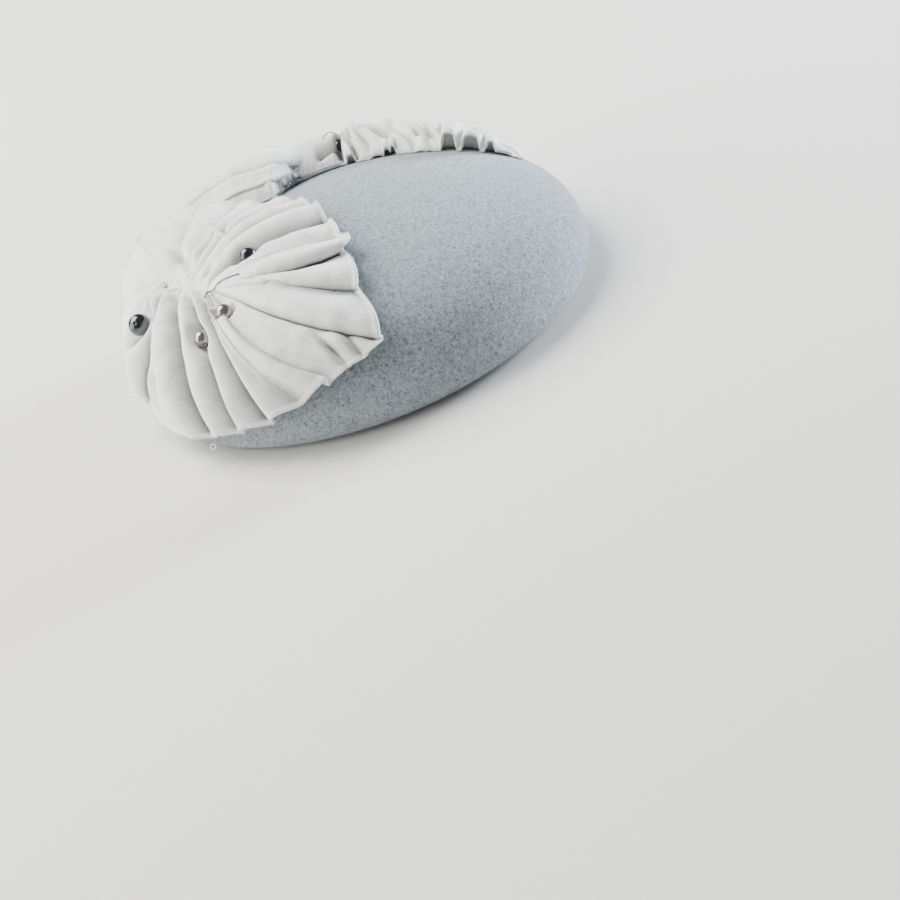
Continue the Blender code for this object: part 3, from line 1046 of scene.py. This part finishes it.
@dataclass
class PearlBead:
    """A glass pearl with a bored thread hole, at the place of its bead."""

    node: str
    lustre: Lustre
    axis: Vector
    bore: float = 0.5 * MM

    def build(self, material: Any) -> Any:
        """Add a ball, then sink a bore at both of its poles."""
        low, high = (Vector(corner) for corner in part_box(self.node))
        radius = (high.z - low.z) / 2
        deselect_all()
        bpy.ops.mesh.primitive_uv_sphere_add(
            segments=48, ring_count=32, radius=radius, location=(0.0, 0.0, 0.0)
        )
        bead = bpy.context.object
        for face in bead.data.polygons:
            face.select = math.hypot(face.center.x, face.center.y) < self.bore
        bpy.ops.object.mode_set(mode="EDIT")
        bpy.ops.mesh.select_mode(type="FACE")
        bpy.ops.mesh.inset(thickness=0.05 * MM, depth=-0.12 * MM)
        bpy.ops.mesh.inset(thickness=0.05 * MM, depth=-0.8 * MM)
        bpy.ops.object.mode_set(mode="OBJECT")
        bead.rotation_euler = self.axis.to_track_quat("Z", "Y").to_euler()
        bead.location = (low + high) / 2
        return settle(bead, f"pearl_{self.node}", material)


@dataclass
class Thread:
    """A length of sewing thread that is drawn through points."""

    name: str
    points: Sequence[Vector]
    radius: float = 0.22 * MM

    def build(self, material: Any) -> Any:
        """Draw a round curve through the points and turn it to a mesh."""
        deselect_all()
        bpy.ops.curve.primitive_nurbs_path_add(location=(0.0, 0.0, 0.0))
        thread = bpy.context.object
        curve = thread.data
        curve.splines.clear()
        spline = curve.splines.new("NURBS")
        spline.points.add(len(self.points) - 1)
        for knot, point in zip(spline.points, self.points):
            knot.co = (*point, 1.0)
        spline.use_endpoint_u = True
        spline.order_u = 3
        curve.bevel_depth = self.radius
        curve.bevel_resolution = 2
        curve.use_fill_caps = True
        curve.resolution_u = 6
        take(thread)
        bpy.ops.object.convert(target="MESH")
        return settle(bpy.context.object, self.name, material)


@dataclass
class Fray:
    """Loose pile and threads along the raw edges of a sheet, as one mesh of hairs."""

    name: str
    sheet: VelvetSheet
    count: int
    shortest: float = 0.3 * MM
    longest: float = 1.0 * MM
    thick: float = 0.08 * MM
    seed: int = 11

    def build(self, material: Any) -> Any:
        """Set a thin pointed hair at each place along the edge."""
        chance = random.Random(self.seed)
        hairs = bmesh.new()
        for _ in range(self.count):
            first, second, inner_first, inner_second = self.sheet.raw_place(chance.random())
            foot = self.sheet.point(first, second)
            out = (foot - self.sheet.point(inner_first, inner_second)).normalized()
            out += Vector([chance.uniform(-0.7, 0.7) for _ in range(3)])
            out.normalize()
            side = out.orthogonal().normalized() * self.thick
            turn = Matrix.Rotation(2 * math.pi / 3, 3, out)
            ring = [side, turn @ side, turn @ (turn @ side)]
            base = foot - out * 0.3 * MM
            size = chance.uniform(self.shortest, self.longest)
            feet = [hairs.verts.new(base + item) for item in ring]
            tip = hairs.verts.new(foot + out * size)
            hairs.faces.new(feet[::-1])
            for index in range(3):
                hairs.faces.new((feet[index], feet[(index + 1) % 3], tip))
        mesh = bpy.data.meshes.new(self.name)
        hairs.to_mesh(mesh)
        hairs.free()
        item = bpy.data.objects.new(self.name, mesh)
        bpy.context.scene.collection.objects.link(item)
        # Hairs take no painted shade and the full raw-edge colour, which is partly a painted highlight.
        for label, value in (("painted_shade", 0.0), ("raw_edge", 1.0)):
            layer = mesh.attributes.new(label, "FLOAT", "POINT")
            layer.data.foreach_set("value", [value] * len(mesh.vertices))
        return settle(item, self.name, material)


@dataclass
class Studio:
    """Pale floor, soft light from the upper left and the camera at three quarters."""

    dome: Dome
    floor_colour: str = "#EBEAE6"
    distance: float = 0.8
    elevation: float = 25.0
    roll: float = 22.5
    right_shift: float = 27.0 * MM
    down_shift: float = 45.4 * MM
    sensor: float = 36.0
    lens: float = 36.0 * 800 / 318.4

    def build(self) -> None:
        """Lay the floor, hang the lights and set the camera."""
        self.lay_floor()
        self.hang_light("main", Vector((-0.55, -0.60, 1.15)), 1.1, 50.0, "#FFFEFA")
        self.hang_light("left", Vector((0.05, -1.35, 0.60)), 1.3, 28.0, "#FFFDF8")
        self.hang_light("right", Vector((-0.25, 0.85, 0.14)), 0.3, 26.0, "#E8F2FF")
        self.light_room()
        self.set_camera()

    def lay_floor(self) -> None:
        """Lay a wide plain floor."""
        deselect_all()
        bpy.ops.mesh.primitive_grid_add(x_subdivisions=8, y_subdivisions=8, size=12.0)
        floor = bpy.context.object
        material, _, shader = start_material(
            "painted_floor", {"Roughness": 0.9, "Specular IOR Level": 0.1}
        )
        shader.inputs["Base Color"].default_value = linear(self.floor_colour)
        settle(floor, "floor", material)

    def hang_light(self, name: str, place: Vector, size: float, power: float, hue: str) -> None:
        """Hang a soft square light that looks at the hat."""
        light = bpy.data.lights.new(name, "AREA")
        light.size = size
        light.energy = power
        light.color = linear(hue)[:3]
        item = bpy.data.objects.new(name, light)
        bpy.context.scene.collection.objects.link(item)
        item.location = place
        item.rotation_euler = (-place).to_track_quat("-Z", "Y").to_euler()

    def light_room(self) -> None:
        """Fill the room with an even pale light."""
        world = bpy.data.worlds.new("room")
        world.use_nodes = True
        back = world.node_tree.nodes["Background"]
        back.inputs["Color"].default_value = linear("#F0F1F2")
        back.inputs["Strength"].default_value = 0.30
        bpy.context.scene.world = world

    def set_camera(self) -> None:
        """Stand the camera where its view meets the crown as it should, and roll it."""
        rise = math.radians(self.elevation)
        turn = math.radians(self.roll)
        eye = self.dome.middle + self.distance * Vector((math.cos(rise), 0.0, math.sin(rise)))
        level = Vector((0.0, 1.0, 0.0))
        upright = Vector((-math.sin(rise), 0.0, math.cos(rise)))
        right = level * math.cos(turn) - upright * math.sin(turn)
        above = level * math.sin(turn) + upright * math.cos(turn)
        target = self.dome.middle + right * self.right_shift - above * self.down_shift
        back = (eye - target).normalized()
        right = above.cross(back).normalized()
        above = back.cross(right)
        camera = bpy.data.cameras.new("camera")
        camera.lens = self.lens
        camera.sensor_width = self.sensor
        camera.clip_start = 0.01
        item = bpy.data.objects.new("camera", camera)
        bpy.context.scene.collection.objects.link(item)
        item.matrix_world = Matrix.Translation(eye) @ Matrix(
            (right, above, back)
        ).transposed().to_4x4()
        bpy.context.scene.camera = item


@dataclass
class ButtonHat:
    """The whole hat, built piece by piece and fixed to its frame."""

    dome: Dome

    def add(self, piece: Any, slot: str, *nodes: str) -> Any:
        """Let a piece ride on the hat and stand for its CAD nodes, which are hidden."""
        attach(piece, "root")
        if nodes:
            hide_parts(*nodes)
        LOG.info("%s: %d faces", piece.name, len(piece.data.polygons))
        return piece

    def bead_seats(self, *nodes: str) -> list[BeadSeat]:
        """Seats of the beads that lie in a sheet, from the CAD model."""
        seats = []
        for node in nodes:
            low, high = (Vector(corner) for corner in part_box(node))
            spot = (low + high) / 2 - self.dome.middle
            bearing = math.atan2(spot.y, spot.x)
            outward = self.dome.radius - math.hypot(spot.x, spot.y)
            nearest = np.argmin(np.hypot(outward, self.dome.height - spot.z))
            length = float(self.dome.length[nearest])
            radius = (high.z - low.z) / 2
            flat = (length * math.cos(bearing), length * math.sin(bearing))
            seats.append(BeadSeat(*flat, radius, *BEAD_DENTS[node]))
        return seats

    def build(self) -> None:
        """Build every piece in order."""
        felt = WoolFelt().material()
        velvet = SilkVelvet().material()
        glazes = {lustre: glaze.material(lustre.value) for lustre, glaze in GLAZES.items()}
        self.add(FeltCrown(self.dome).build(felt), "felt", "felt_crown")
        fan = VelvetFan(self.dome, "gathered_fan", 72, len(FAN_PLEATS) * 18, self.bead_seats(*BEAD_DENTS))
        puff = VelvetPuff(self.dome, "pleated_puff", 168, 90, (), fan=fan)
        ruffle = VelvetRuffle(self.dome, "lifted_ruffle", 380, 64, ())
        fan_cloth = self.hem_sheet(fan, velvet, "velvet_fan", 2600)
        self.hem_sheet(puff, velvet, "velvet_puff", 700)
        self.hem_sheet(ruffle, velvet, "velvet_ruffle", 1500)
        for node, lustre, axis in (
            ("dark_bead_top", Lustre.DARK_PEARL, Vector((1.0, -0.5, 0.2))),
            ("dark_bead_front", Lustre.DARK_PEARL, Vector((0.6, -0.2, 0.5))),
            ("dark_bead_gather", Lustre.DARK_PEARL, Vector((0.4, 1.0, 0.2))),
            ("silver_bead_upper", Lustre.SILVER_PEARL, Vector((0.1, 0.8, -1.0))),
            ("silver_bead_lower", Lustre.SILVER_PEARL, Vector((1.0, 0.0, -0.2))),
        ):
            slot = "dark_bead" if lustre is Lustre.DARK_PEARL else "silver_bead"
            self.add(PearlBead(node, lustre, axis).build(glazes[lustre]), slot, node)
        self.add_threads(glazes, fan_cloth)
        self.add_seed_bead(glazes[Lustre.CLEAR_SEED])

    def hem_sheet(self, sheet: VelvetSheet, velvet: Any, node: str, hairs: int) -> Any:
        """Args:
            sheet: the cloth.
            velvet: its material.
            node: the CAD node that it stands for.
            hairs: how many hairs its raw edges carry.

        Returns:
            The cloth's object.
        """
        cloth = self.add(sheet.build(velvet), "velvet", node)
        fray = Fray(f"{sheet.name}_fray", sheet, hairs).build(velvet)
        self.add(fray, "velvet")
        area = sheet.cloth_area()
        LOG.info("%s: area %.5f", sheet.name, area)
        return cloth

    def on_cloth(self, cloth: Any, flat_x: float, flat_y: float, lift: float) -> Vector:
        """Point above a piece of cloth at a place on the map."""
        high = self.dome.place(flat_x * MM, flat_y * MM, 40 * MM)
        low = self.dome.place(flat_x * MM, flat_y * MM, 0.0)
        found, spot, _, _ = cloth.ray_cast(high, low - high)
        return (spot if found else low) + (high - low).normalized() * lift * MM

    def add_threads(self, glazes: dict[Lustre, Any], fan_cloth: Any) -> None:
        """Add the loose navy thread and the grey loop at the gather."""
        navy = (
            (26.4, -47.6, 0.3),
            (24.8, -46.6, 0.9),
            (24.0, -44.8, 0.4),
            (24.4, -41.8, 0.9),
            (27.2, -37.6, 0.5),
            (30.4, -33.6, 0.3),
        )
        points = [self.on_cloth(fan_cloth, *row) for row in navy]
        self.add(Thread("navy_thread_end", points).build(glazes[Lustre.NAVY_THREAD]), "velvet")
        grey = ((-55.6, 7.8, 11.4), (-54.2, 9.2, 13.0), (-53.2, 11.6, 13.4), (-52.8, 13.6, 11.0))
        points = [self.dome.place(x * MM, y * MM, lift * MM) for x, y, lift in grey]
        self.add(Thread("grey_thread_loop", points).build(glazes[Lustre.GREY_THREAD]), "velvet")

    def add_seed_bead(self, material: Any) -> None:
        """Add the small seed bead, held off the felt under the velvet's lower edge."""
        deselect_all()
        bpy.ops.mesh.primitive_torus_add(
            major_radius=0.8 * MM,
            minor_radius=0.5 * MM,
            major_segments=32,
            minor_segments=16,
            location=self.dome.place(65.0 * MM, -77.2 * MM, 2.4 * MM),
            rotation=(0.5, 0.9, 0.3),
        )
        self.add(settle(bpy.context.object, "seed_bead", material), "silver_bead")


def main() -> None:
    """Build the studio and the hat."""
    logging.basicConfig(level=logging.INFO, format="%(message)s")
    dome = Dome()
    Studio(dome).build()
    ButtonHat(dome).build()


if __name__ == "__main__":
    main()
